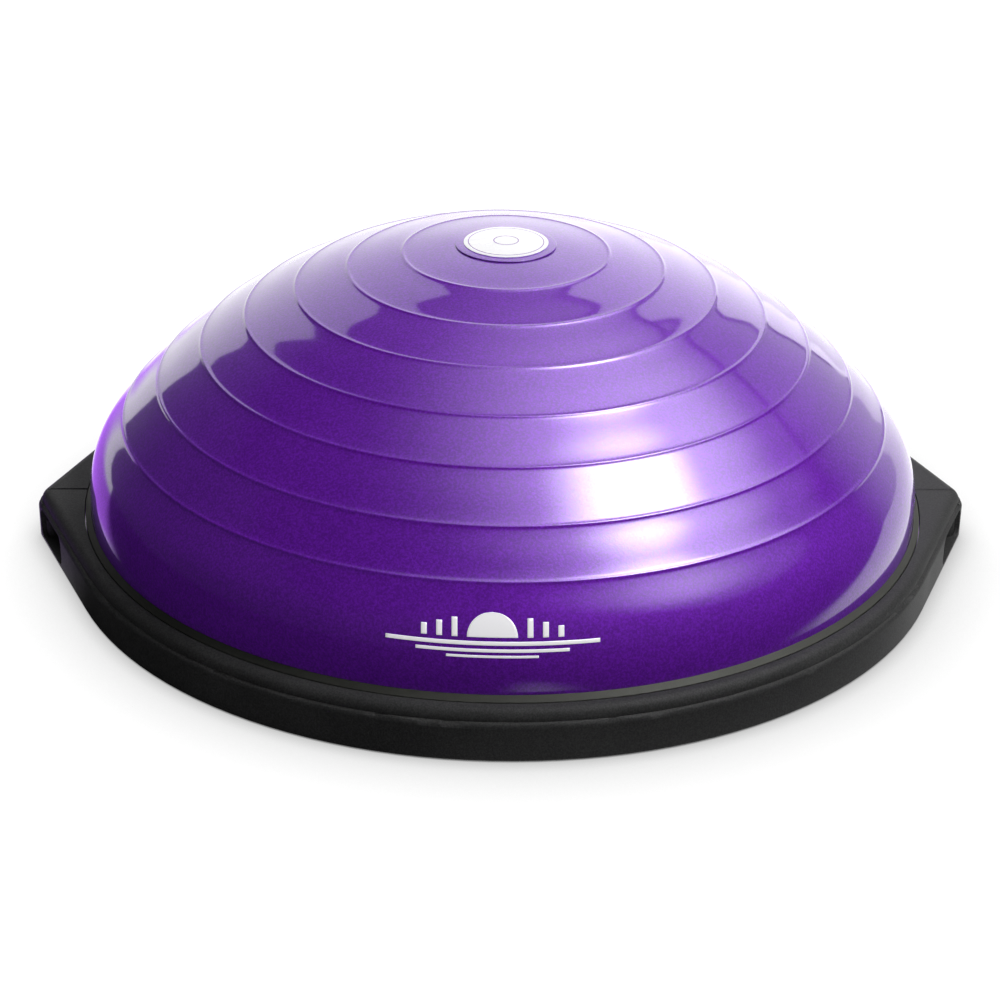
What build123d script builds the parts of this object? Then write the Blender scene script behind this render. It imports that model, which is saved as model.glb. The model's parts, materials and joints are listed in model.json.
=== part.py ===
"""Balance dome trainer: an air-filled dome clamped on a round platform that has a grip on each side.

Millimetres. The origin is the middle of the platform at floor level, +Z is up, and the grips
stand out along +X and -X. The clamp rim is split on the X axis into a front (-Y) and a rear (+Y)
half. Every piece is written to its own STEP file, in its place on the assembled object.
"""

import os
from math import acos, asin, cos, degrees, pi, radians, sin, sqrt

from build123d import *

# Clearances
seat_gap = 0.3          # between pieces that lie close but don't touch
screw_clearance = 0.1   # round a screw's shank and a foot's stud
plug_clearance = 0.05   # round the stopper's stem in its seat
part_gap = 0.6          # open line where the two rim halves meet

# Dome: a large crown sphere that turns through a tighter shoulder into an upright wall
dome_height = 235.9     # floor to the top of the skin
dome_radius = 307.3     # the upright wall
shoulder_radius = 63.8  # tighter curve between crown and wall
wall_rise = 19.5        # the upright wall's height above the clamp
skin = 3.0              # moulded skin
ring_distances = (75.0, 116.3, 156.8, 198.1, 237.3, 279.4, 317.2)  # from the top, along the skin
ring_round = 1.5        # radius of each raised ring's section
ring_height = 0.9       # how far a ring stands out of the skin
crown_pad_radius = 36.5
crown_pad_thickness = 0.7
label_radius = 30.5
label_thickness = 0.3

# Heights of the layers above the floor
foot_stand = 1.0        # the rubber feet hold the platform this far up
plate = 3.5             # bottom plate
core_height = 20.0      # the deck's ribs, down to the plate
deck_thickness = 3.5
sheet_thickness = 2.0   # flat membrane that closes the dome
flange_thickness = 3.0  # foot of the dome skin, which the rim clamps
rim_plate = 4.2         # rim above the flange

# Bead hoop between the skin and the rim
hoop_width = 4.0
hoop_rise = 3.4         # its inner edge above its outer edge
hoop_stand = 0.2        # its outer edge above the rim
hoop_gap = 0.8          # open line between hoop and rim

# Rim and platform outline
rim_width = 12.6        # from the rim's inner edge to the platform's outer wall
rim_inset = 2.8         # how far the rim stands back from the outer wall
rim_wall = 3.0
rim_seat_drop = 3.8     # from the clamp's face down to the joint with the pan
rim_roll = 7.6          # rounding of the rim's outer edge
seam_bevel = 0.9        # bevel along the line where the halves meet
ear_reach = 24.5        # the grips' points beyond the outer wall
ear_corner = 20.0       # rounding of a grip's point, seen from above
flange_reach = 5.6      # how far the clamped flange goes under the rim

# Pan
pan_wall = 3.0
pan_edge_round = 4.0
pan_foot_round = 1.0
ledge_inset = 6.5       # inner side of the ledge that carries the rim
rib_thickness = 2.5
rib_count = 16
rib_ring_radii = (120.0, 210.0)
clamp_wall_inset = 16.5  # ring wall under the deck's edge, from the outer wall to its middle
tread_first = 76.0      # shallow round grooves under the plate
tread_pitch = 16.0
tread_count = 12
tread_width = 2.0
tread_depth = 0.6

# Grips
pocket_depth = 30.0     # from the round wall's line inwards
pocket_half = 62.0      # half the pocket's length
pocket_wall = 3.0
pocket_roof = 2.0       # under the deck
grip_floor = 2.5        # thin flange under the fingers
slot_top = 26.5         # lower edge of the lip, above the floor
slot_round = 6.0
post_half = 9.0         # half the corner post's length
post_depth = 18.5       # from the grip's point inwards

# Screws that pull the rim down on the pan
screws_per_side = 8
screw_inset = 7.5       # from the outer wall
screw_margin = 8.0      # degrees from the grip's end to the first screw
ear_screw_inset = 11.5  # from the grip's point
ear_screw_offset = 7.0  # from the line where the halves meet
head_radius = 3.4
head_height = 2.4
shank_radius = 1.5
shank_length = 18.0
cross_width = 0.9
cross_length = 4.2
cross_depth = 1.2
head_seat = 10.0        # height of the face that the head pulls on
head_bore_radius = 4.2
boss_top = 16.0         # where the pan's boss meets the rim's boss
pan_boss_radius = 6.0
rim_boss_radius = 3.6
pilot_end = 1.0         # pilot hole beyond the screw's tip

# Feet
foot_count = 8
foot_inset = 29.0       # from the outer wall
foot_radius = 13.0
foot_thickness = 3.0
foot_stud_radius = 3.0
foot_stud_length = 3.4
foot_round = 0.4
foot_boss_rise = 2.0    # the plate is thicker over each foot
foot_boss_border = 3.0

# Valve in the middle of the platform
well_radius = 28.0      # finger well inside the cup
well_wall = 3.0
cup_brim = 32.0         # the cup's wide brim beyond its wall
cup_brim_thickness = 2.0
cup_ledge = 5.0         # how far the plate's edge reaches over the brim
bore_radius = 5.0
neck_radius = 12.0
neck_length = 10.5      # below the deck
valve_flange_radius = 22.0
valve_flange_thickness = 2.0
stem_length = 15.0
stem_chamfer = 0.75
plug_disc_radius = 10.0
plug_disc_thickness = 2.0
plug_knob_radius = 6.5
plug_waist_radius = 4.5
plug_waist = 1.5
plug_knob_thickness = 1.8

# Derived heights
plate_top = foot_stand + plate
deck_under = plate_top + core_height
deck_top = deck_under + deck_thickness
flange_under = deck_top + sheet_thickness
clamp_face = flange_under + flange_thickness
rim_top = clamp_face + rim_plate
rim_seat = clamp_face - rim_seat_drop

# Derived radii, from the dome outwards
hoop_inner = dome_radius + seat_gap
hoop_outer = hoop_inner + hoop_width
rim_bore = hoop_outer + hoop_gap
flange_radius = rim_bore + flange_reach
wall_radius = rim_bore + rim_width
foot_boss_radius = foot_radius + foot_boss_border

# The crown sphere meets the top of the dome and lies tangent to the shoulder
wall_top = clamp_face + wall_rise
shoulder_centre = dome_radius - shoulder_radius
crown_rise = dome_height - wall_top
crown_square = shoulder_centre**2 + crown_rise**2 - shoulder_radius**2
crown_radius = crown_square / (2 * (crown_rise - shoulder_radius))
crown_centre = dome_height - crown_radius
crown_turn = asin(shoulder_centre / (crown_radius - shoulder_radius))

# The grips' straight sides lie tangent to the round wall, turned this far from the X axis
ear_turn = acos((wall_radius - ear_corner) / (wall_radius + ear_reach - ear_corner))
ear_centre = wall_radius + ear_reach - ear_corner


def disc(radius, bottom, top):
    """Upright cylinder on the Z axis between two heights."""
    return Pos(0, 0, bottom) * extrude(Circle(radius), amount=top - bottom)


def tube(outer, inner, bottom, top):
    """Upright pipe on the Z axis between two heights."""
    return disc(outer, bottom, top) - disc(inner, bottom, top)


def pin(place, radius, bottom, top):
    """Upright cylinder at a place (x, y) between two heights."""
    return Pos(place[0], place[1], 0) * disc(radius, bottom, top)


def block(x_range, y_range, z_range):
    """Box between the two ends of each range."""
    sizes = [high - low for low, high in (x_range, y_range, z_range)]
    middle = [(high + low) / 2 for low, high in (x_range, y_range, z_range)]
    return Pos(*middle) * Box(*sizes)


def outline(inset):
    """Plan of the platform drawn in by inset: a circle, and on each side two tangents and a round point."""
    radius = wall_radius - inset
    round_x, round_y = radius * cos(ear_turn), radius * sin(ear_turn)
    tip_round = ear_corner - inset
    tip_x, tip_y = ear_centre + tip_round * cos(ear_turn), tip_round * sin(ear_turn)
    with BuildSketch() as plan:
        with BuildLine():
            for s in (1, -1):
                ThreePointArc((s * round_x, s * round_y), (0, s * radius), (-s * round_x, s * round_y))
                Line((-s * round_x, s * round_y), (-s * tip_x, s * tip_y))
                tip = (-s * (ear_centre + tip_round), 0)
                ThreePointArc((-s * tip_x, s * tip_y), tip, (-s * tip_x, -s * tip_y))
                Line((-s * tip_x, -s * tip_y), (-s * round_x, -s * round_y))
        make_face()
    return plan.sketch


def slab(inset, bottom, top):
    """The platform's plan, drawn in by inset, between two heights."""
    return Pos(0, 0, bottom) * extrude(outline(inset), amount=top - bottom)


def polar(radius, angle):
    """Place (x, y) at a radius and an angle in degrees from +X."""
    return radius * cos(radians(angle)), radius * sin(radians(angle))


def screw_places(side):
    """Screw places of the rear (1) or front (-1) half: an even row on the round, and one at each grip."""
    first = degrees(ear_turn) + screw_margin
    step = (180 - 2 * first) / (screws_per_side - 1)
    row = [polar(wall_radius - screw_inset, side * (first + step * i)) for i in range(screws_per_side)]
    tip = wall_radius + ear_reach - ear_screw_inset
    return row + [(tip, side * ear_screw_offset), (-tip, side * ear_screw_offset)]


def boss_clearance(bottom, top):
    """Round holes that clear the rim's hanging bosses."""
    places = screw_places(1) + screw_places(-1)
    return [pin(place, rim_boss_radius + seat_gap, bottom, top) for place in places]


def on_dome(distance):
    """Radius, height and lean from the vertical of the skin, at a distance along it from the top."""
    crown_length = crown_radius * crown_turn
    if distance <= crown_length:
        turn = distance / crown_radius
        return crown_radius * sin(turn), crown_centre + crown_radius * cos(turn), turn
    turn = crown_turn + (distance - crown_length) / shoulder_radius
    return shoulder_centre + shoulder_radius * sin(turn), wall_top + shoulder_radius * cos(turn), turn


def dome_arcs(depth):
    """Crown arc and shoulder arc of the skin at a depth under its outer face, from the top down."""
    crown, shoulder = crown_radius - depth, shoulder_radius - depth

    def crown_point(turn):
        return crown * sin(turn), crown_centre + crown * cos(turn)

    def shoulder_point(turn):
        return shoulder_centre + shoulder * sin(turn), wall_top + shoulder * cos(turn)

    middle_turn = (crown_turn + pi / 2) / 2
    return (
        ThreePointArc(crown_point(0), crown_point(crown_turn / 2), crown_point(crown_turn)),
        ThreePointArc(shoulder_point(crown_turn), shoulder_point(middle_turn), shoulder_point(pi / 2)),
    )


def dome_skin():
    """Moulded skin: crown, shoulder and upright wall in one, raised rings, and the flange that is clamped."""
    inner_radius = dome_radius - skin
    with BuildSketch(Plane.XZ) as section:
        with BuildLine():
            dome_arcs(0)
            dome_arcs(skin)
            Line((0, dome_height - skin), (0, dome_height))
            Polyline(
                (dome_radius, wall_top),
                (dome_radius, clamp_face),
                (flange_radius, clamp_face),
                (flange_radius, flange_under),
                (inner_radius, flange_under),
                (inner_radius, wall_top),
            )
        make_face()
    body = revolve(section.sketch, Axis.Z)
    for distance in ring_distances:
        radius, height, turn = on_dome(distance)
        sunk = ring_round - ring_height
        centre = (radius - sunk * sin(turn), 0, height - sunk * cos(turn))
        body += revolve(Plane.XZ * Pos(centre[0], centre[2]) * Circle(ring_round), Axis.Z)
    return body - boss_clearance(flange_under, clamp_face)


def crown_disc(radius, lift, thickness):
    """Thin round disc that follows the crown, its underside a lift above the skin."""
    under = Pos(0, 0, crown_centre) * Sphere(crown_radius + lift)
    over = Pos(0, 0, crown_centre) * Sphere(crown_radius + lift + thickness)
    return (over - under) & disc(radius, crown_centre, dome_height + lift + 2 * thickness)


def bottom_sheet():
    """Flat membrane that closes the dome, open round the valve's neck."""
    sheet = disc(flange_radius, deck_top, flange_under) - disc(neck_radius + seat_gap, deck_top, flange_under)
    return sheet - boss_clearance(deck_top, flange_under)


def inner_deck():
    """Stiff disc that carries the membrane, with ribs and ring walls that stand on the pan's plate."""
    deck = disc(flange_radius, deck_under, deck_top) + deck_ribs()
    deck -= disc(neck_radius + seat_gap, deck_under, deck_top)
    for side in (1, -1):
        deck -= pocket_block(side, seat_gap, deck_under)
    places = foot_places()
    stud_top = foot_thickness + foot_stud_length + seat_gap
    deck -= [pin(place, foot_boss_radius + seat_gap, plate_top, stud_top) for place in places]
    return deck - boss_clearance(plate_top, deck_top)


def deck_ribs():
    """Radial ribs and ring walls between the plate and the deck."""
    clamp_wall = wall_radius - clamp_wall_inset
    half = rib_thickness / 2
    inner = well_radius + well_wall + seat_gap
    ribs = [tube(radius + half, radius - half, plate_top, deck_under) for radius in rib_ring_radii]
    ribs.append(tube(clamp_wall + half, clamp_wall - half, plate_top, deck_under))
    ribs.append(tube(inner + rib_thickness, inner, plate_top, deck_under))
    arm = block((inner + half, clamp_wall), (-half, half), (plate_top, deck_under))
    return ribs + [Rot(0, 0, 360 / rib_count * (i + 0.5)) * arm for i in range(rib_count)]


def bead_hoop():
    """Hoop on the flange that fills the corner between skin and rim, its top sloping outwards."""
    outer_top = rim_top + hoop_stand
    with BuildSketch(Plane.XZ) as section:
        with BuildLine():
            Polyline(
                (hoop_inner, clamp_face),
                (hoop_outer, clamp_face),
                (hoop_outer, outer_top),
                (hoop_inner, outer_top + hoop_rise),
                close=True,
            )
        make_face()
    return revolve(section.sketch, Axis.Z)


def rim_ring():
    """Both halves of the clamp rim before they are parted: rolled edge, top plate and hanging bosses."""
    rolled = slab(rim_inset, rim_seat, rim_top)
    rolled = fillet(rolled.edges().group_by(Axis.Z)[-1], rim_roll)
    rolled -= slab(rim_inset + rim_wall, rim_seat, clamp_face)
    places = screw_places(1) + screw_places(-1)
    rolled += [pin(place, rim_boss_radius, boss_top, clamp_face) for place in places]
    rolled -= disc(rim_bore, boss_top, rim_top)
    pilot_top = head_seat + shank_length + pilot_end
    return rolled - [pin(place, shank_radius + screw_clearance, boss_top, pilot_top) for place in places]


def rim_half(ring, side):
    """Rear (1) or front (-1) half of the rim."""
    far = wall_radius + ear_reach
    near_y, far_y = sorted((side * part_gap / 2, side * far))
    across = (part_gap + 2 * seam_bevel) / sqrt(2)
    groove = Pos(0, 0, rim_top) * Rot(45, 0, 0) * Box(2 * far, across, across)
    return (ring & block((-far, far), (near_y, far_y), (0, rim_top))) - groove


def pan_shell():
    """Bottom plate, outer wall and the ledge that carries the rim."""
    shell = slab(0, foot_stand, rim_seat)
    shell = fillet(shell.edges().group_by(Axis.Z)[-1], pan_edge_round)
    shell = fillet(shell.edges().group_by(Axis.Z)[0], pan_foot_round)
    shell -= slab(pan_wall, plate_top, deck_under)
    return shell - slab(ledge_inset, deck_under, rim_seat)


def pocket_block(side, margin, top):
    """Outside of a grip's pocket, walls included, a margin larger in plan, from the plate to a height."""
    back = wall_radius - pocket_depth - pocket_wall - margin
    reach = pocket_half + pocket_wall + margin
    xs = sorted((side * back, side * (wall_radius + ear_reach)))
    return block(xs, (-reach, reach), (plate_top, top))


def corner_post(side):
    """Solid post at a grip's point, from the plate to the rim's joint."""
    tip = wall_radius + ear_reach
    xs = sorted((side * (tip - post_depth), side * tip))
    return block(xs, (-post_half, post_half), (plate_top, rim_seat)) & slab(pan_wall / 2, plate_top, rim_seat)


def pocket_space(side):
    """Finger room of a grip: the pocket, and a slot through each slanting side of the outer wall."""
    back = wall_radius - pocket_depth
    tip = wall_radius + ear_reach
    floor, roof = foot_stand + grip_floor, deck_under - pocket_roof
    xs = sorted((side * back, side * tip))
    room = block(xs, (-pocket_half, pocket_half), (floor, roof)) & slab(pan_wall, floor, roof)
    slots = []
    for end in (1, -1):
        ys = sorted((end * post_half, end * pocket_half))
        slot_xs = sorted((side * (wall_radius - ledge_inset), side * (tip + pan_wall)))
        slot = block(slot_xs, ys, (floor, slot_top))
        slots.append(fillet(slot.edges().filter_by(Axis.X), slot_round))
    return room, slots


def whole_pan():
    """Moulded pan: plate, wall and ledge, two grips, screw bosses, foot seats and the hole for the valve cup."""
    pan = pan_shell()
    for side in (1, -1):
        walls = pocket_block(side, 0, deck_under) & slab(pan_wall / 2, plate_top, deck_under)
        room, slots = pocket_space(side)
        pan = pan + walls - room + corner_post(side)
        pan -= slots
    places = screw_places(1) + screw_places(-1)
    bosses = [pin(place, pan_boss_radius, foot_stand + pan_foot_round, boss_top) for place in places]
    pan += [boss & slab(0, foot_stand, boss_top) for boss in bosses]
    pan -= [pin(place, head_bore_radius, foot_stand, head_seat) for place in places]
    pan -= [pin(place, shank_radius + screw_clearance, head_seat, boss_top) for place in places]
    pan -= boss_clearance(boss_top, rim_seat)
    brim_radius = well_radius + well_wall + cup_brim + seat_gap
    pan -= disc(brim_radius - cup_ledge, foot_stand, plate_top)
    pan -= disc(brim_radius, foot_stand, foot_stand + cup_brim_thickness)
    return cut_underside(pan)


def grip_zone(side):
    """Room that a grip's pocket takes up in the pan, from its inner wall out past the point."""
    back = wall_radius - pocket_depth - pocket_wall
    reach = pocket_half + pocket_wall
    xs = sorted((side * back, side * (wall_radius + ear_reach + pan_wall)))
    return block(xs, (-reach, reach), (0, rim_top))


def foot_places():
    """Foot places, evenly round the platform and clear of the grips."""
    return [polar(wall_radius - foot_inset, 360 / foot_count * (i + 0.5)) for i in range(foot_count)]


def cut_underside(pan):
    """Foot seats with their stud holes, and the round tread grooves."""
    places = foot_places()
    pan += [pin(place, foot_boss_radius, plate_top, plate_top + foot_boss_rise) for place in places]
    pan -= [pin(place, foot_radius + screw_clearance, foot_stand, foot_thickness) for place in places]
    stud_top = plate_top + foot_boss_rise
    pan -= [pin(place, foot_stud_radius + screw_clearance, foot_thickness, stud_top) for place in places]
    half = tread_width / 2
    radii = [tread_first + tread_pitch * i for i in range(tread_count)]
    return pan - [tube(r + half, r - half, foot_stand, foot_stand + tread_depth) for r in radii]


def rubber_foot(place):
    """Round rubber foot with a stud that pushes into the pan."""
    pad = pin(place, foot_radius, 0, foot_thickness)
    pad = fillet(pad.edges().group_by(Axis.Z)[0], foot_round)
    return pad + pin(place, foot_stud_radius, foot_thickness, foot_thickness + foot_stud_length)


def rim_screw(place):
    """Pan-head screw with a cross recess, driven upwards from below."""
    screw = pin(place, head_radius, head_seat - head_height, head_seat)
    screw += pin(place, shank_radius, head_seat, head_seat + shank_length)
    under = head_seat - head_height
    for long_x, long_y in ((cross_length, cross_width), (cross_width, cross_length)):
        slot = Box(long_x, long_y, cross_depth, align=(Align.CENTER, Align.CENTER, Align.MIN))
        screw -= Pos(place[0], place[1], under) * slot
    return screw


def valve_cup():
    """Round cup, pushed into the pan's middle from below up to its brim, that makes the finger well."""
    cup_radius = well_radius + well_wall
    brim = tube(cup_radius + cup_brim, well_radius, foot_stand, foot_stand + cup_brim_thickness)
    return tube(cup_radius, well_radius, foot_stand, deck_under) + brim


def valve_seat():
    """Soft valve body welded into the membrane: flange inside, neck down through the deck, straight bore."""
    neck_end = deck_under - neck_length
    flange_top = flange_under + valve_flange_thickness
    body = disc(neck_radius, neck_end, flange_under) + disc(valve_flange_radius, flange_under, flange_top)
    return body - disc(bore_radius, neck_end, flange_top)


def valve_plug():
    """Push-in stopper: stem in the bore, sealing disc, waist and a knob for the fingertips."""
    disc_top = deck_under - neck_length - seat_gap
    disc_end = disc_top - plug_disc_thickness
    waist_end = disc_end - plug_waist
    stem = disc(bore_radius - plug_clearance, disc_top, disc_top + stem_length)
    stem = chamfer(stem.edges().group_by(Axis.Z)[-1], stem_chamfer)
    plug = stem + disc(plug_disc_radius, disc_end, disc_top) + disc(plug_waist_radius, waist_end, disc_end)
    return plug + disc(plug_knob_radius, waist_end - plug_knob_thickness, waist_end)


def save(name, shape):
    """Write one node and say how large it is."""
    shape.label = name
    export_step(shape, os.path.join("parts", name + ".step"))
    print(name, "solids", len(shape.solids()), "volume", round(shape.volume))


def main():
    os.makedirs("parts", exist_ok=True)
    ring = rim_ring()
    label_lift = 2 * seat_gap + crown_pad_thickness
    save("dome_skin", dome_skin())
    save("crown_pad", crown_disc(crown_pad_radius, seat_gap, crown_pad_thickness))
    save("crown_label", crown_disc(label_radius, label_lift, label_thickness))
    save("bottom_sheet", bottom_sheet())
    save("bead_hoop", bead_hoop())
    save("inner_deck", inner_deck())
    pan = whole_pan()
    save("base_pan", pan - [grip_zone(side) for side in (1, -1)])
    save("grip_right", pan & grip_zone(1))
    save("grip_left", pan & grip_zone(-1))
    save("valve_cup", valve_cup())
    save("valve_seat", valve_seat())
    save("valve_plug", valve_plug())
    for name, side in (("rear", 1), ("front", -1)):
        save("rim_" + name, rim_half(ring, side))
        save("rim_screws_" + name, Compound(children=[rim_screw(place) for place in screw_places(side)]))
    for number, place in enumerate(foot_places(), start=1):
        save("foot_%d" % number, rubber_foot(place))


main()
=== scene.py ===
# %% [markdown]
# # A balance dome trainer
#
# The real object is a half-ball of glossy moulded vinyl, blown up with air and clamped on a rigid
# black platform that has a pointed grip on each side. The engineering model already holds every
# piece at its true size. This script adds what a camera sees: the skin's fine rings and its
# gloss, the printed marks, the moulded grain of the platform, a studio and a camera.

# %% Load the frame
import json
import math

import bmesh
import bpy
import numpy as np
from mathutils import Matrix, Vector


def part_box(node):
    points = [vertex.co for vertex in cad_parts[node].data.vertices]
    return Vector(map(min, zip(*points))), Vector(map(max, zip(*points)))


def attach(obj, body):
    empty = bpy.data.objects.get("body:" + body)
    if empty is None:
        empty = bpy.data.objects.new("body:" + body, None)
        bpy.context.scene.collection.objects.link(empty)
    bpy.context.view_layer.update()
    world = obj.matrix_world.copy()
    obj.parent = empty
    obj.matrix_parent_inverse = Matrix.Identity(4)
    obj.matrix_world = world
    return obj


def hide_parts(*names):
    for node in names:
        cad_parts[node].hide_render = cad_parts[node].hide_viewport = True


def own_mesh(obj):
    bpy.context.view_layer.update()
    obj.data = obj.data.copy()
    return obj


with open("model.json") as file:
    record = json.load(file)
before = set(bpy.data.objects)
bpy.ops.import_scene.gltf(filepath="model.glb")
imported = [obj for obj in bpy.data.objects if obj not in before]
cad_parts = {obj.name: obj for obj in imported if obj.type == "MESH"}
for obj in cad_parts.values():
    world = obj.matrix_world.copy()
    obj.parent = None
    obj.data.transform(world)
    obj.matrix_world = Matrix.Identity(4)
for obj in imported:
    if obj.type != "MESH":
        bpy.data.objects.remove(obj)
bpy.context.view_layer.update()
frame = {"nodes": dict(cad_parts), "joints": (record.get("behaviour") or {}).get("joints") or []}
nodes = frame["nodes"]

# %% [markdown]
# ## Surfaces from numbers
#
# Most pieces here are surfaces over a grid of two parameters. One helper turns an array of points
# into a mesh, so each piece only has to say where its points are. Working on whole arrays keeps a
# piece of many thousand points quick to make, and the formula stays readable.

# %% A grid of points becomes a mesh
def mesh_object(name, points, faces, smooth=True):
    """Mesh object from an array of points and a list of faces, each a tuple of point numbers."""
    mesh = bpy.data.meshes.new(name)
    mesh.from_pydata(np.asarray(points, float).reshape(-1, 3).tolist(), [], faces)
    mesh.polygons.foreach_set("use_smooth", np.full(len(mesh.polygons), smooth))
    mesh.update()
    piece = bpy.data.objects.new(name, mesh)
    bpy.context.scene.collection.objects.link(piece)
    return piece


def grid_faces(rows, columns, wrap_rows=False, wrap_columns=False, first=0):
    """Four-sided faces between neighbours on a grid of rows by columns, closed on itself where wrap says."""
    r = np.arange(rows if wrap_rows else rows - 1)[:, None]
    c = np.arange(columns if wrap_columns else columns - 1)[None, :]
    r2, c2 = (r + 1) % rows, (c + 1) % columns
    corners = [r * columns + c, r * columns + c2, r2 * columns + c2, r2 * columns + c]
    return (np.stack(np.broadcast_arrays(*corners), axis=-1).reshape(-1, 4) + first).tolist()


def turned(profile, columns):
    """Profile of (radius, height) turned about Z: x and y are the radius times cosine and sine."""
    angle = np.arange(columns) * 2 * math.pi / columns
    radius, height = np.asarray(profile, float).T
    x, y = radius[:, None] * np.cos(angle), radius[:, None] * np.sin(angle)
    return np.stack([x, y, np.broadcast_to(height[:, None], x.shape)], axis=-1)


print("grid helper: a 3 by 3 grid has", len(grid_faces(3, 3)), "faces")

# %% [markdown]
# ## The shape of the skin
#
# Blown up, the skin is part of a large sphere that turns through a tighter shoulder into a short
# upright wall. Seven raised rings run round it. They stiffen the skin, so beside each ring the
# surface swells a little, and reflections hook there. A profile turned about the middle gives all
# of this exactly; a subdivided ball would round the fine rings away.

# %% Measures of the skin, in metres
hoop_low, hoop_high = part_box("bead_hoop")
hoop_width = 0.0043          # hoop and its clearance
wall_radius = hoop_high.x - hoop_width
clamp_height = hoop_low.z
crown_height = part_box("dome_skin")[1].z
wall_rise = 0.0195
wall_top = clamp_height + wall_rise
shoulder_radius = 0.0638
skin_thickness = 0.003

across = wall_radius - shoulder_radius
rise = crown_height - wall_top
crown_radius = (across**2 + rise**2 - shoulder_radius**2) / (2 * (rise - shoulder_radius))
crown_centre = crown_height - crown_radius
crown_turn = math.asin(across / (crown_radius - shoulder_radius))
crown_length = crown_radius * crown_turn
shoulder_length = shoulder_radius * (math.pi / 2 - crown_turn)
skin_length = crown_length + shoulder_length + wall_rise
print("crown sphere radius", round(crown_radius, 4), "skin length", round(skin_length, 4))


# %% The smooth skin
def on_skin(distance, lift=0.0):
    """Radius and height of the skin at a distance along it from the top, a lift out of its surface.

    Down to the crown's end the turn is distance over crown radius, then it grows with the
    shoulder's radius, and the wall is upright. The point is the arc's centre plus its radius
    (and lift) times sine and cosine of the turn.
    """
    s = np.asarray(distance, float)
    turn_crown = s / crown_radius
    turn_shoulder = np.clip(crown_turn + (s - crown_length) / shoulder_radius, 0, math.pi / 2)
    down = np.clip(s - crown_length - shoulder_length, 0, None)
    on_crown = s <= crown_length
    radius = np.where(on_crown, (crown_radius + lift) * np.sin(turn_crown),
                      across + (shoulder_radius + lift) * np.sin(turn_shoulder))
    height = np.where(on_crown, crown_centre + (crown_radius + lift) * np.cos(turn_crown),
                      wall_top + (shoulder_radius + lift) * np.cos(turn_shoulder) - down)
    return radius, height


print("skin at its top and its foot:", [np.round(on_skin(s), 4).tolist() for s in (0, skin_length)])

# %% The rings and the swelling beside them
ring_distances = np.array([0.0750, 0.1163, 0.1568, 0.1981, 0.2373, 0.2794, 0.3172])
ring_height, ring_half = 0.00055, 0.0013
swell_height, swell_half = 0.00034, 0.0058


def ring_lift(distance):
    """Height of rings and swelling over the smooth skin: a sharp and a broad bell curve about each ring."""
    gap = np.asarray(distance, float)[..., None] - ring_distances
    sharp = ring_height * np.exp(-(gap / ring_half) ** 2)
    broad = swell_height * np.exp(-(gap / swell_half) ** 2)
    return (sharp + broad).sum(axis=-1)


first_row = 0.002            # distance of the first row from the pole, and of ring rows from the foot
even_rows = 76
beside_ring = np.array([0, 0.4, 0.8, 1.2, 1.7, 2.4, 3.4, 4.8, 6.6, 9.0, 12.0]) / 1000


def skin_rows():
    """Distances of the rows of points: even along the skin, and close together at each ring."""
    even = np.linspace(first_row, skin_length, even_rows)
    close = np.concatenate([-beside_ring[:0:-1], beside_ring])
    near = (ring_distances[:, None] + close[None, :]).ravel()
    far = np.abs(even[:, None] - ring_distances).min(axis=1) > close.max()
    return np.sort(np.concatenate([even[far], near[near < skin_length - first_row], [skin_length]]))


print("rings:", len(ring_distances), "rows of points:", len(skin_rows()))

# %% The skin as one closed shell
skin_columns = 360
inner_rows = 24
inner_start = 0.004          # distance of the inner face's last row from the pole
unevenness = 0.00016         # slow waves left by the mould and the air


def slow_waves(distance, angle):
    """Slow waves of a blown-up skin: three sines of angle and distance, fading at the top and the clamp."""
    waves = (np.sin(3 * angle + 11 * distance) + 0.7 * np.sin(5 * angle - 17 * distance + 1.3)
             + 0.5 * np.sin(2 * angle + 29 * distance + 2.1))
    fade = np.sin(math.pi * np.clip(distance / skin_length, 0, 1)) ** 0.7
    return unevenness * waves * fade


def skin_shell():
    """Outer skin from the top down to the clamp, then the plain inner face back up, closed at both poles."""
    outer_rows = np.unique(np.round(skin_rows(), 6))
    angle = np.arange(skin_columns) * 2 * math.pi / skin_columns
    s, a = outer_rows[:, None], angle[None, :]
    lift = ring_lift(s) + slow_waves(s, a)
    radius, height = on_skin(np.broadcast_to(s, lift.shape), lift)
    outer = np.stack([radius * np.cos(a), radius * np.sin(a), height], axis=-1)
    inner_distances = np.linspace(skin_length, inner_start, inner_rows)
    inner = turned(np.stack(on_skin(inner_distances, -skin_thickness), axis=-1), skin_columns)
    body = np.concatenate([outer, inner])
    poles = [[0, 0, crown_height], [0, 0, crown_height - skin_thickness]]
    points = np.concatenate([body.reshape(-1, 3), poles])
    rows, top, under = len(body), len(body) * skin_columns, len(body) * skin_columns + 1
    faces = [f[::-1] for f in grid_faces(rows, skin_columns, wrap_columns=True)]
    last = (rows - 1) * skin_columns
    here, after = np.arange(skin_columns), (np.arange(skin_columns) + 1) % skin_columns
    faces += [(top, i, j) for i, j in zip(here.tolist(), after.tolist())]
    faces += [(under, last + j, last + i) for i, j in zip(here.tolist(), after.tolist())]
    return mesh_object("moulded_dome", points, faces)


dome = skin_shell()
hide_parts("dome_skin")
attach(dome, "platform")
print("dome:", len(dome.data.vertices), "points,", len(dome.data.polygons), "faces")

# %% The flange that the platform clamps
flange_inner, flange_outer = 0.3043, 0.318
flange_foot = clamp_height - skin_thickness
flange_section = [(flange_inner, flange_foot), (flange_outer, flange_foot),
                  (flange_outer, clamp_height), (flange_inner, clamp_height)]
flange = mesh_object("clamped_flange", turned(flange_section, skin_columns),
                     grid_faces(4, skin_columns, wrap_rows=True, wrap_columns=True), smooth=False)
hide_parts("dome_skin")
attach(flange, "platform")
print("flange between radii", flange_inner, "and", flange_outer)

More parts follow.
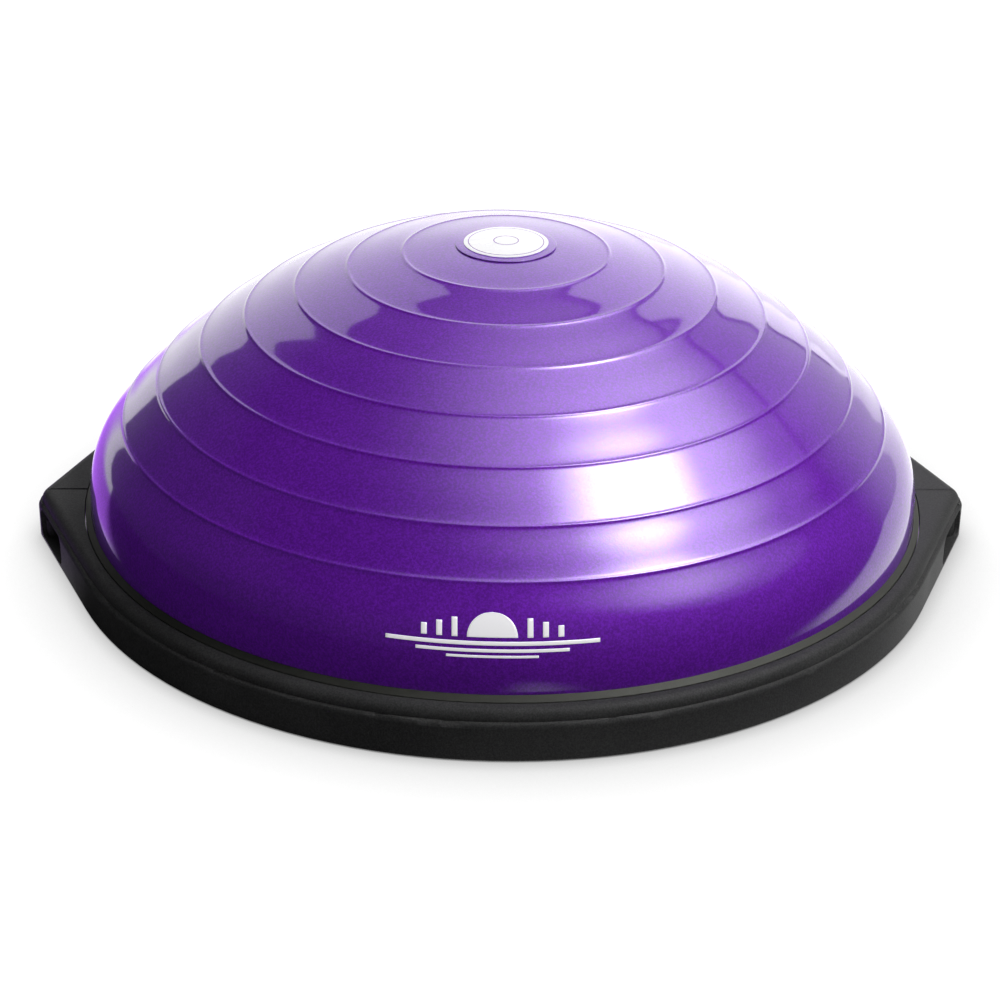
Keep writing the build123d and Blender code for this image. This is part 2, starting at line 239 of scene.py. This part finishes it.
# %% [markdown]
# ## The crown pad and its label
#
# At the top lies a thin round pad with a rounded edge, and on it a smooth white label. Both
# follow the crown's curve, so they are profiles along the skin with a lift, turned about the
# middle. When the dome is pressed the skin gets flatter under the pad, which keeps its shape, so
# the pad's underside is hollowed by as much.

# %% Pad and label
press = next(joint for joint in frame["joints"] if joint["name"] == "dome_press")
crown_travel = press["range_m"][1]          # how far a foot presses the crown down
kept_share = 1 - crown_travel / (crown_height - clamp_height)
pad_high, label_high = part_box("crown_pad")[1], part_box("crown_label")[1]
pad_radius, label_radius = pad_high.x, label_high.x
pad_lift = pad_high.z - crown_height
label_lift = label_high.z - crown_height
skin_clearance = 0.0003
pad_edge, label_edge = 0.00035, 0.00012     # how far each rim is rounded
disc_columns = 192
top_rows, edge_rows, under_rows = 11, 7, 8
innermost = 0.001            # distance of the innermost row from the pole


def crown_disc(name, radius, under, over, edge, hollow=0.0):
    """Thin closed disc on the crown: its top at over, its underside at under, its rim rounded by edge.

    Hollow is the share of the crown's own drop that the underside leaves out, so that a crown
    pressed flatter still clears it.
    """
    turn = np.linspace(0, math.pi / 2, edge_rows)
    top_s = np.linspace(innermost, radius - edge, top_rows + 1)[:-1]
    rim_s = radius - edge + edge * np.sin(turn)
    under_s = np.linspace(radius, innermost, under_rows)
    rim_lift = over - edge * (1 - np.cos(turn))
    under_lift = under + hollow * (crown_height - on_skin(under_s)[1])
    s = np.concatenate([top_s, rim_s, under_s])
    lift = np.concatenate([np.full(top_rows, over), rim_lift, under_lift])
    body = turned(np.stack(on_skin(s, lift), axis=-1), disc_columns)
    poles = [[0, 0, crown_height + over], [0, 0, crown_height + under]]
    points = np.concatenate([body.reshape(-1, 3), poles])
    top, last = len(body) * disc_columns, (len(body) - 1) * disc_columns
    faces = [f[::-1] for f in grid_faces(len(body), disc_columns, wrap_columns=True)]
    pairs = [(i, (i + 1) % disc_columns) for i in range(disc_columns)]
    faces += [(top, i, j) for i, j in pairs] + [(top + 1, last + j, last + i) for i, j in pairs]
    return mesh_object(name, points, faces)


pad = crown_disc("raised_crown_pad", pad_radius, skin_clearance, pad_lift, pad_edge, hollow=1 - kept_share)
label = crown_disc("round_label", label_radius, pad_lift + skin_clearance, label_lift, label_edge)
for piece, node, slot in ((pad, "crown_pad", "dome_skin"), (label, "crown_label", "label")):
    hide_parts(node)
    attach(piece, "crown")
print("pad and label:", [round(v * 1000, 2) for v in (pad_radius, label_radius, pad_lift, label_lift)], "mm")

# %% [markdown]
# ## Printed marks
#
# Such a trainer carries a mark on its label and a large pale one low on its front. Here both are
# plain signs of no maker: two thin rings on the label, and on the front a rising half-disc over
# three rules, with short bars beside it. Each is a very thin film cut to its outline, that follows
# the skin's curve. Rows run along the skin and columns across it, so one helper makes the half-disc
# and every bar from its two edges.

# %% A film on the skin
film_lift = 0.00012
film_thickness = 0.00008
mark_shift = -0.014          # the front mark sits a little left of the middle


def film(name, left, right, start, end, rows, columns):
    """Thin closed film on the skin from one distance to another.

    At each distance it reaches from left(distance) to right(distance), two lengths measured round
    the skin from the front, turned into angles by the skin's radius there. Its top lies a film's
    lift over rings and waves, its underside a film's thickness lower.
    """
    s = np.linspace(start, end, rows)[:, None]
    share = np.linspace(0, 1, columns)[None, :]
    side = left(s) * (1 - share) + right(s) * share
    plain_radius = on_skin(s)[0]
    angle = -math.pi / 2 + (side + mark_shift) / plain_radius
    s = np.broadcast_to(s, angle.shape)
    rest = ring_lift(s) + slow_waves(s, angle % (2 * math.pi))
    sheets = []
    for lift in (film_lift, film_lift - film_thickness):
        radius, height = on_skin(s, rest + lift)
        sheet = np.stack([radius * np.cos(angle), radius * np.sin(angle), height], axis=-1)
        sheets.append(sheet.reshape(-1, 3))
    over = [f[::-1] for f in grid_faces(rows, columns)]
    under = grid_faces(rows, columns, first=rows * columns)
    edge = np.concatenate([np.arange(columns),
                           np.arange(1, rows) * columns + columns - 1,
                           (rows - 1) * columns + np.arange(columns - 2, -1, -1),
                           np.arange(rows - 2, 0, -1) * columns])
    ahead = np.roll(edge, -1)
    sides = np.stack([edge, ahead, ahead + rows * columns, edge + rows * columns], axis=-1).tolist()
    return mesh_object(name, np.concatenate(sheets), over + under + sides)


def closed_up(piece):
    """Merge the points of a film's pointed ends and turn every face outwards."""
    work = bmesh.new()
    work.from_mesh(piece.data)
    bmesh.ops.remove_doubles(work, verts=work.verts, dist=0.00001)
    bmesh.ops.recalc_face_normals(work, faces=work.faces)
    work.to_mesh(piece.data)
    work.free()
    return piece


print("a film is", round(film_thickness * 1000, 2), "mm thick")

# %% The front mark's half-disc and rules
disc_foot, disc_radius = 0.3530, 0.0165
thinnest = 1e-9              # square of the half width left at the disc's top, so that no row is a point
# start, width and half length of each rule
rules = [(0.3556, 0.0026, 0.070), (0.3606, 0.0021, 0.050), (0.3648, 0.0016, 0.030)]


def disc_edge(s):
    """Half width of the disc: the root of its radius squared less the height over its foot squared."""
    return np.sqrt(np.maximum(disc_radius**2 - (disc_foot - s)**2, thinnest))


def bar(name, left, right, start, end, rows, columns):
    """Film with straight sides, left and right of the mark's middle by two fixed lengths."""
    film_of_bar = film(name, lambda s: np.full_like(s, left), lambda s: np.full_like(s, right),
                       start, end, rows, columns)
    return closed_up(film_of_bar)


half_disc = film("front_half_disc", lambda s: -disc_edge(s), disc_edge,
                 disc_foot - disc_radius, disc_foot, rows=25, columns=21)
front_marks = [closed_up(half_disc)]
for number, (start, width, half) in enumerate(rules, 1):
    front_marks.append(bar("front_rule_%d" % number, -half, half, start, start + width, rows=4, columns=61))
print("half-disc and rules:", len(front_marks), "films")

# %% The front mark's rays
ray_count = 3
ray_gap, ray_step, ray_half = 0.008, 0.0100, 0.0019
ray_length, ray_drop = 0.0125, 0.0026       # length of the first ray, and how much shorter each next one is
for side, side_name in ((-1, "left"), (1, "right")):
    for number in range(ray_count):
        middle = (disc_radius + ray_gap + ray_step * number) * side
        top = disc_foot - ray_length + ray_drop * number
        front_marks.append(bar("front_ray_%s_%d" % (side_name, number + 1),
                               middle - ray_half, middle + ray_half, top, disc_foot, rows=9, columns=4))
for piece in front_marks:
    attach(piece, "platform")
print("front mark:", len(front_marks), "films")

# %% The label's mark
ink_foot, ink_top = label_lift + 0.00001, label_lift + 0.00006
ink_rings = {"label_outer_ring": (0.0268, 0.0274), "label_inner_ring": (0.0085, 0.0092)}


def ring_of_ink(name, inner, outer):
    """Thin closed ring on the label: an oblong section between two distances, turned about the middle."""
    corners = ((inner, ink_top), (outer, ink_top), (outer, ink_foot), (inner, ink_foot))
    section = np.array([on_skin(s, lift) for s, lift in corners], float)
    faces = [f[::-1] for f in grid_faces(4, disc_columns, wrap_rows=True, wrap_columns=True)]
    return mesh_object(name, turned(section, disc_columns), faces, smooth=False)


label_marks = [ring_of_ink(name, *reach) for name, reach in ink_rings.items()]
for piece in label_marks:
    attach(piece, "crown")
print("label mark:", len(label_marks), "pieces")

# %% [markdown]
# ## Patterns that several finishes share
#
# Moulded vinyl and moulded plastic both have a fine grain from the mould, and every used plastic
# has patches that are rubbed a little smoother or hold a little dust. Each effect is a node group,
# built once and placed in each material with its own values. The patch group also serves as a very
# fine speckle of the colour. A group gives out only a normal, a mask or a value, and the shader
# stays in the material.

# %% Helpers for nodes and groups
def add_node(tree, kind, values=None, **settings):
    """Node of a kind in a tree, its sockets set from a dict of input name or number to value."""
    node = tree.nodes.new(kind)
    for key, value in settings.items():
        setattr(node, key, value)
    for key, value in (values or {}).items():
        node.inputs[key].default_value = value
    return node


def new_group(name, inputs, outputs):
    """Empty group with float inputs {name: default} and outputs {name: socket type}, and its two ends."""
    tree = bpy.data.node_groups.new(name, "ShaderNodeTree")
    for socket_name, default in inputs.items():
        socket = tree.interface.new_socket(socket_name, in_out="INPUT", socket_type="NodeSocketFloat")
        socket.default_value = default
    for socket_name, kind in outputs.items():
        tree.interface.new_socket(socket_name, in_out="OUTPUT", socket_type=kind)
    return tree, tree.nodes.new("NodeGroupInput"), tree.nodes.new("NodeGroupOutput")


def object_place(tree):
    """Socket of the object's own coordinates, in metres."""
    return add_node(tree, "ShaderNodeTexCoord").outputs["Object"]


print("node helpers ready")

# %% Mould grain
grain_group, grain_in, grain_out = new_group(
    "mould_grain", {"Scale": 900.0, "Depth": 0.2, "Roughness": 0.5}, {"Normal": "NodeSocketVector"})
grain_noise = add_node(grain_group, "ShaderNodeTexNoise", {"Detail": 3.0})
grain_bump = add_node(grain_group, "ShaderNodeBump", {"Distance": 0.0003})
grain_link = grain_group.links.new
grain_link(object_place(grain_group), grain_noise.inputs["Vector"])
grain_link(grain_in.outputs["Scale"], grain_noise.inputs["Scale"])
grain_link(grain_in.outputs["Roughness"], grain_noise.inputs["Roughness"])
grain_link(grain_in.outputs["Depth"], grain_bump.inputs["Strength"])
grain_link(grain_noise.outputs["Fac"], grain_bump.inputs["Height"])
grain_link(grain_bump.outputs["Normal"], grain_out.inputs["Normal"])
print("mould grain:", len(grain_group.nodes), "nodes")

# %% Patches rubbed by hands and feet
patch_group, patch_in, patch_out = new_group(
    "rubbed_patches", {"Scale": 14.0, "Low": 0.0, "High": 1.0},
    {"Value": "NodeSocketFloat", "Mask": "NodeSocketFloat"})
patch_noise = add_node(patch_group, "ShaderNodeTexNoise",
                       {"Detail": 5.0, "Roughness": 0.62, "Distortion": 0.4})
patch_mask = add_node(patch_group, "ShaderNodeMapRange", {"From Min": 0.36, "From Max": 0.66},
                      interpolation_type="SMOOTHSTEP")
patch_value = add_node(patch_group, "ShaderNodeMapRange")
patch_link = patch_group.links.new
patch_link(object_place(patch_group), patch_noise.inputs["Vector"])
patch_link(patch_in.outputs["Scale"], patch_noise.inputs["Scale"])
patch_link(patch_noise.outputs["Fac"], patch_mask.inputs["Value"])
patch_link(patch_mask.outputs["Result"], patch_value.inputs["Value"])
patch_link(patch_in.outputs["Low"], patch_value.inputs["To Min"])
patch_link(patch_in.outputs["High"], patch_value.inputs["To Max"])
patch_link(patch_value.outputs["Result"], patch_out.inputs["Value"])
patch_link(patch_mask.outputs["Result"], patch_out.inputs["Mask"])
print("rubbed patches:", len(patch_group.nodes), "nodes")


# %% A finish from its colours and its two patterns
def finish(name, colour, worn_colour, roughness, grain, patch_scale=14.0, speckle=0.06, **shader):
    """Material of one moulded finish.

    Colour runs between two tones over the rubbed patches, roughness between two values over the
    same patches, and grain is (scale, depth) of the mould grain. Speckle is how far the colour
    swings, up and down, from one grain to the next. Everything else is a plain value on the
    shader's own socket.
    """
    made = bpy.data.materials.new(name)
    made.use_nodes = True
    tree = made.node_tree
    principled = tree.nodes["Principled BSDF"]
    patches = add_node(tree, "ShaderNodeGroup", node_tree=patch_group)
    patches.inputs["Scale"].default_value = patch_scale
    patches.inputs["Low"].default_value, patches.inputs["High"].default_value = roughness
    tones = add_node(tree, "ShaderNodeMix", data_type="RGBA")
    tones.inputs[6].default_value, tones.inputs[7].default_value = (*colour, 1), (*worn_colour, 1)
    tree.links.new(patches.outputs["Mask"], tones.inputs[0])
    speckles = add_node(tree, "ShaderNodeGroup", node_tree=patch_group)
    speckles.inputs["Scale"].default_value = grain[0]
    speckles.inputs["Low"].default_value, speckles.inputs["High"].default_value = 1 - speckle, 1 + speckle
    speckled = add_node(tree, "ShaderNodeMix", {0: 1.0}, data_type="RGBA", blend_type="MULTIPLY")
    tree.links.new(tones.outputs[2], speckled.inputs[6])
    tree.links.new(speckles.outputs["Value"], speckled.inputs[7])
    tree.links.new(speckled.outputs[2], principled.inputs["Base Color"])
    tree.links.new(patches.outputs["Value"], principled.inputs["Roughness"])
    mould = add_node(tree, "ShaderNodeGroup", node_tree=grain_group)
    mould.inputs["Scale"].default_value, mould.inputs["Depth"].default_value = grain
    tree.links.new(mould.outputs["Normal"], principled.inputs["Normal"])
    for socket, value in shader.items():
        principled.inputs[socket.replace("_", " ").title().replace("Ior", "IOR")].default_value = value
    return made


print("a finish uses the groups", patch_group.name, "and", grain_group.name)

# %% [markdown]
# ## The finishes
#
# The skin is pearl vinyl: a purple body with a soft broad sheen under a clear, sharp gloss. So its
# shader is slightly metallic and rough, with a smooth coat on top. The platform is black plastic
# with a satin mould grain, and the feet are matt rubber. The label and the print are flat white with a
# painted glow: they shine a little though they are no lamp, which keeps them white where the skin round them
# is in shade.

# %% Finishes
vinyl = finish(
    "pearl_vinyl", (0.200, 0.0185, 0.56), (0.215, 0.021, 0.59), (0.36, 0.42), (620.0, 0.30), 9.0,
    speckle=0.24, metallic=0.06, specular_ior_level=0.06, coat_weight=1.0, coat_roughness=0.07, coat_ior=1.5)
black_plastic = finish(
    "black_moulded_plastic", (0.045, 0.045, 0.045), (0.054, 0.054, 0.054), (0.50, 0.60), (800.0, 0.45),
    speckle=0.22, specular_ior_level=0.05)
deck_plastic = finish(
    "black_deck_plastic", (0.030, 0.030, 0.030), (0.038, 0.038, 0.038), (0.55, 0.65), (1200.0, 0.30))
membrane_vinyl = finish(
    "thin_membrane_vinyl", (0.11, 0.025, 0.30), (0.13, 0.03, 0.34), (0.38, 0.48), (900.0, 0.15))
bead_rubber = finish(
    "bead_rubber", (0.036, 0.037, 0.031), (0.046, 0.047, 0.040), (0.50, 0.60), (1500.0, 0.2),
    specular_ior_level=0.15)
foot_rubber = finish(
    "foot_rubber", (0.028, 0.028, 0.028), (0.045, 0.045, 0.044), (0.70, 0.85), (1300.0, 0.35), 60.0)
stopper_plastic = finish(
    "pale_stopper_plastic", (0.78, 0.78, 0.76), (0.70, 0.70, 0.67), (0.28, 0.38), (1500.0, 0.08), 80.0)
# painted glow: the label's emission makes it shine though it is no lamp
label_film_painted_glow = finish(
    "label_film_painted_glow", (0.93, 0.92, 0.95), (0.90, 0.89, 0.93), (0.24, 0.30), (1500.0, 0.03), 30.0,
    coat_weight=0.6, coat_roughness=0.08, emission_color=(1, 1, 1, 1), emission_strength=0.22)
# painted glow: the print's emission makes the white mark shine though it is no lamp
print_ink_painted_glow = finish(
    "white_print_ink", (0.93, 0.92, 0.96), (0.90, 0.88, 0.94), (0.30, 0.36), (1500.0, 0.05), 30.0,
    coat_weight=0.7, coat_roughness=0.1, emission_color=(1, 1, 1, 1), emission_strength=0.42)
label_ink = finish(
    "violet_label_ink", (0.20, 0.03, 0.42), (0.24, 0.05, 0.46), (0.30, 0.36), (1500.0, 0.03), 30.0)
zinc = finish(
    "zinc_plated_screw", (0.48, 0.48, 0.50), (0.36, 0.36, 0.38), (0.28, 0.42), (2500.0, 0.10), 200.0,
    metallic=1.0)
print("finishes from", vinyl.name, "to", zinc.name)

# %% Every piece gets its finish
finish_of_slot = {"dome_skin": vinyl, "label": label_film_painted_glow, "membrane": membrane_vinyl, "bead": bead_rubber,
                  "deck": deck_plastic, "platform": black_plastic, "stopper": stopper_plastic, "screw": zinc,
                  "foot": foot_rubber}
for node_object in nodes.values():
    slot_name = node_object.data.materials[0].name.split(".")[0]
    node_object.data.materials[0] = finish_of_slot[slot_name]
for pieces, material in (([dome, pad, flange], vinyl), ([label], label_film_painted_glow),
                         (front_marks, print_ink_painted_glow), (label_marks, label_ink)):
    for piece in pieces:
        piece.data.materials.append(material)
print("slots with a finish:", sorted(finish_of_slot))

# %% [markdown]
# ## Light
#
# The trainer is lit as a glossy thing is lit for a catalogue. A soft lamp high on the right lights
# its body, helped by a weak one in front and one behind on the left. What its gloss mirrors is set
# apart from that: a hanging diffuser above with a bright middle, two pale screens behind it with
# straight sides, and a pale floor behind the platform. The rest of the room stays dim, so that the
# purple keeps its depth, and only the eye sees it as a white backdrop. The diffuser and the screens
# are cards that only reflections see, because a lamp that does both jobs can't have soft edges and
# a clean body light at once.

# %% The lamps
def area_light(name, place, aim, size, power):
    """Square lamp at a place, facing a point. It lights bodies only, as the cards below make the gloss."""
    data = bpy.data.lights.new(name, "AREA")
    data.shape, data.size, data.size_y, data.energy = "RECTANGLE", size, size, power
    lamp = bpy.data.objects.new(name, data)
    bpy.context.scene.collection.objects.link(lamp)
    lamp.location = place
    lamp.rotation_euler = (Vector(aim) - Vector(place)).to_track_quat("-Z", "Y").to_euler()
    lamp.visible_camera = lamp.visible_glossy = False
    return lamp


lamps = [area_light("key_lamp", place=(1.05, -0.40, 1.85), aim=(0, 0, 0.12), size=0.70, power=19.5),
         area_light("front_fill_lamp", place=(0.60, -2.2, 1.2), aim=(0, 0, 0.08), size=1.2, power=3.2),
         area_light("left_rear_lamp", place=(-1.25, 1.25, 1.15), aim=(-0.10, 0, 0.12), size=0.8, power=5.0)]
print("lamps:", [lamp.name for lamp in lamps])


# %% Soft masks over a card
def fade(tree, value, start, end, high=1.0):
    """Smooth fall of a value from high before start to 0 after end, as a socket."""
    limits = {"From Min": start, "From Max": end, "To Min": high, "To Max": 0.0}
    ramp = add_node(tree, "ShaderNodeMapRange", limits, interpolation_type="SMOOTHSTEP")
    tree.links.new(value, ramp.inputs["Value"])
    return ramp.outputs["Result"]


def combine(tree, operation, first, second):
    """Two sockets, or a socket and a number, joined by a math operation."""
    joined = add_node(tree, "ShaderNodeMath", operation=operation)
    tree.links.new(first, joined.inputs[0])
    if isinstance(second, (int, float)):
        joined.inputs[1].default_value = second
    else:
        tree.links.new(second, joined.inputs[1])
    return joined.outputs[0]


def axes_of(tree):
    """The object's x, y and z as three sockets."""
    split = add_node(tree, "ShaderNodeSeparateXYZ")
    tree.links.new(object_place(tree), split.inputs[0])
    return split.outputs[0], split.outputs[1], split.outputs[2]


def distance_from(tree, point):
    """Distance from a point in the object's coordinates, as a socket."""
    apart = add_node(tree, "ShaderNodeVectorMath", operation="DISTANCE")
    apart.inputs[1].default_value = point
    tree.links.new(object_place(tree), apart.inputs[0])
    return apart.outputs["Value"]


print("mask helpers ready")

# %% Cards that only reflections see
def glow_card(name, corners, strength_of):
    """Flat stage card that glows with a strength worked out over it, and shows only in reflections."""
    piece = mesh_object(name, corners, [(0, 1, 2, 3)], smooth=False)
    made = bpy.data.materials.new(name + "_glow")
    made.use_nodes = True
    tree = made.node_tree
    tree.nodes.clear()
    glow = add_node(tree, "ShaderNodeEmission", {"Color": (1, 1, 1, 1)})
    tree.links.new(strength_of(tree), glow.inputs["Strength"])
    tree.links.new(glow.outputs[0], add_node(tree, "ShaderNodeOutputMaterial").inputs["Surface"])
    piece.data.materials.append(made)
    piece.visible_camera = piece.visible_diffuse = piece.visible_shadow = False
    return piece


print("cards show only in reflections")

# %% The hanging diffuser
diffuser_height = 2.1
diffuser_left, diffuser_right, diffuser_front, diffuser_back = -2.6, 4.6, -2.6, 1.80
hot_spot = (1.08, -0.62, diffuser_height)
middle_glow, skirt_glow, even_glow = 22.0, 6.2, 0.75


def diffuser_strength(tree):
    """Bright middle, a wide skirt and an even glow, dying away to the left, the front and the back."""
    x, y = axes_of(tree)[:2]
    far = distance_from(tree, hot_spot)
    middle = fade(tree, far, 0.16, 0.90, middle_glow)
    skirt = fade(tree, far, 0.35, 2.5, skirt_glow)
    even = fade(tree, far, 2.2, 4.2, even_glow)
    glow = combine(tree, "ADD", combine(tree, "ADD", middle, skirt), even)
    leftward = fade(tree, x, 2.0, -1.8, 1.3)
    forward = fade(tree, combine(tree, "ADD", y, combine(tree, "MULTIPLY", x, 0.45)), -0.3, -2.1)
    backward = fade(tree, y, 1.55, diffuser_back)
    across_glow = combine(tree, "MULTIPLY", glow, leftward)
    return combine(tree, "MULTIPLY", across_glow, combine(tree, "MULTIPLY", forward, backward))


diffuser_outline = [(diffuser_left, diffuser_back), (diffuser_right, diffuser_back),
                    (diffuser_right, diffuser_front), (diffuser_left, diffuser_front)]
diffuser_corners = [(x, y, diffuser_height) for x, y in diffuser_outline]
diffuser = glow_card("hanging_diffuser", diffuser_corners, diffuser_strength)
print(diffuser.name, "hangs at", diffuser_height, "m")


# %% The two screens
def upright_card(name, left, right, top, strength_of):
    """Card that stands on the floor between two places (x, y) and reaches up to top."""
    (x0, y0), (x1, y1) = left, right
    return glow_card(name, [(x0, y0, 0.0), (x1, y1, 0.0), (x1, y1, top), (x0, y0, top)], strength_of)


def back_strength(tree):
    """Even, and stronger towards the right."""
    x, _, z = axes_of(tree)
    return combine(tree, "ADD", fade(tree, z, 3.0, 5.0, 1.55), fade(tree, x, 1.2, -0.8, 0.7))


def right_strength(tree):
    """Even, and dying away towards the right."""
    return fade(tree, axes_of(tree)[0], 2.2, 4.4, 0.85)


screens = [upright_card("back_screen", (-1.75, 2.2), (1.42, 2.2), 2.5, back_strength),
           upright_card("right_screen", (1.45, 2.15), (4.2, 1.6), 2.6, right_strength)]
print("screens:", [screen.name for screen in screens])

# %% One output for three kinds of ray
def by_ray(tree, bodies, reflections, eye):
    """Shader that shows one of three shaders: to bodies, to reflections or to the eye."""
    path = add_node(tree, "ShaderNodeLightPath")
    first, second = add_node(tree, "ShaderNodeMixShader"), add_node(tree, "ShaderNodeMixShader")
    tree.links.new(path.outputs["Is Glossy Ray"], first.inputs[0])
    tree.links.new(bodies.outputs[0], first.inputs[1])
    tree.links.new(reflections.outputs[0], first.inputs[2])
    tree.links.new(path.outputs["Is Camera Ray"], second.inputs[0])
    tree.links.new(first.outputs[0], second.inputs[1])
    tree.links.new(eye.outputs[0], second.inputs[2])
    return second.outputs[0]


print("helper for three kinds of ray ready")

# %% World
room_body, room_mirrored, room_seen = 0.085, 0.05, 1.0      # how bright the room is to each kind of ray
world = bpy.data.worlds.new("studio")
bpy.context.scene.world = world
world.use_nodes = True
sky = world.node_tree
sky.nodes.clear()
sky_body = add_node(sky, "ShaderNodeBackground", {"Color": (0.95, 0.95, 1.0, 1), "Strength": room_body})
sky_gloss = add_node(sky, "ShaderNodeBackground", {"Color": (0.9, 0.9, 1.0, 1), "Strength": room_mirrored})
sky_seen = add_node(sky, "ShaderNodeBackground", {"Color": (1, 1, 1, 1), "Strength": room_seen})
sky_output = add_node(sky, "ShaderNodeOutputWorld")
sky.links.new(by_ray(sky, sky_body, sky_gloss, sky_seen), sky_output.inputs["Surface"])
print("world:", len(sky.nodes), "nodes")

# %% [markdown]
# ## The floor
#
# The floor is a pale sweep, so bright that only the platform's contact shade shows on it. The eye
# sees that shade, worked out from how much of the room the nearby pieces hide. Reflections see a
# floor that is dark in front and pale behind the platform, between two slanting lines, as if the
# screens lit it. Near the platform's left it takes the purple that the dome throws on it. Bodies
# see a third, plain grey floor. A light path node tells the three kinds of ray apart.

# %% Floor
floor_half = 9.0
floor = mesh_object("floor", [(-floor_half, -floor_half, 0), (floor_half, -floor_half, 0),
                              (floor_half, floor_half, 0), (-floor_half, floor_half, 0)],
                    [(0, 1, 2, 3)], smooth=False)
floor_material = bpy.data.materials.new("pale_floor")
floor_material.use_nodes = True
floor_tree = floor_material.node_tree
floor_tree.nodes.clear()
print("floor", floor_half * 2, "m wide")

# %% The floor that the eye sees
shade_reach, shade_gain = 0.13, 1.16        # how far the contact shade reaches, and the open floor's white
shade = add_node(floor_tree, "ShaderNodeAmbientOcclusion", {"Distance": shade_reach}, samples=16)
seen = add_node(floor_tree, "ShaderNodeEmission", {"Color": (1, 1, 1, 1)})
shaded_white = combine(floor_tree, "MULTIPLY", shade.outputs["AO"], shade_gain)
floor_tree.links.new(shaded_white, seen.inputs["Strength"])
print("contact shade reaches", shade_reach, "m")

# %% The floor that reflections see
right_slope, left_slope = -0.61, 0.90       # slants of the two lines that bound the pale part
behind_glow = 1.5
purple_cast = (0.50, 0.16, 1.0, 1)
floor_x, floor_y = axes_of(floor_tree)[:2]
right_line = combine(floor_tree, "ADD", floor_y, combine(floor_tree, "MULTIPLY", floor_x, right_slope))
left_line = combine(floor_tree, "ADD", floor_y, combine(floor_tree, "MULTIPLY", floor_x, left_slope))
behind = combine(floor_tree, "MULTIPLY", fade(floor_tree, right_line, -0.385, -0.425),
                 fade(floor_tree, left_line, -0.34, -0.40))
near_left = combine(floor_tree, "MULTIPLY", fade(floor_tree, floor_x, -0.40, -0.30),
                    fade(floor_tree, floor_y, 0.35, 0.95))
tint = add_node(floor_tree, "ShaderNodeMix", data_type="RGBA")
tint.inputs[6].default_value, tint.inputs[7].default_value = (1, 1, 1, 1), purple_cast
mirrored = add_node(floor_tree, "ShaderNodeEmission")
floor_tree.links.new(near_left, tint.inputs[0])
floor_tree.links.new(tint.outputs[2], mirrored.inputs["Color"])
floor_tree.links.new(combine(floor_tree, "MULTIPLY", behind, behind_glow), mirrored.inputs["Strength"])
print("mirrored floor glows", behind_glow, "behind the platform")

# %% The whole floor
plain = add_node(floor_tree, "ShaderNodeBsdfDiffuse", {"Color": (0.45, 0.45, 0.45, 1)})
floor_output = add_node(floor_tree, "ShaderNodeOutputMaterial")
floor_tree.links.new(by_ray(floor_tree, plain, mirrored, seen), floor_output.inputs["Surface"])
floor.data.materials.append(floor_material)
print("floor material:", len(floor_tree.nodes), "nodes")

# %% [markdown]
# ## A camera
#
# The trainer is seen from the front and a little above, through a long lens, so that the rings
# read as wide ellipses and the platform hardly narrows towards the back.

# %% Camera
camera_data = bpy.data.cameras.new("camera")
camera = bpy.data.objects.new("camera", camera_data)
bpy.context.scene.collection.objects.link(camera)
camera_turn, camera_tilt, camera_roll = math.radians(-1.665), math.radians(63.402), math.radians(0.794)
camera_back, camera_height = 1.7358, 0.8972
turn_about_z = Matrix.Rotation(camera_turn, 3, "Z")
tilt_and_roll = Matrix.Rotation(camera_tilt, 3, "X") @ Matrix.Rotation(camera_roll, 3, "Z")
camera.location = turn_about_z @ Vector((0.0, -camera_back, camera_height))
camera.rotation_euler = (turn_about_z @ tilt_and_roll).to_euler()
camera_data.sensor_width = 36.0
camera_data.lens = 92.29
camera_data.shift_x = -0.0025
camera_data.clip_end = 50
bpy.context.scene.camera = camera
bpy.context.scene.view_settings.view_transform = "Standard"
print("camera lens", camera_data.lens)

# %% [markdown]
# ## The give of the dome
#
# When someone stands on the dome, the crown sinks and the whole skin flattens towards the clamp.
# The pad and label hang on the crown's body, so they move with it. The skin and its print each
# get a mesh of their own, and the share of the skin's height that the crown's travel leaves is worked out;
# their points are not moved here.

# %% The skin and its print get meshes of their own
for piece in [dome] + front_marks:
    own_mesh(piece)
print("over a travel of", crown_travel, "m the skin keeps", round(kept_share, 3), "of its height")
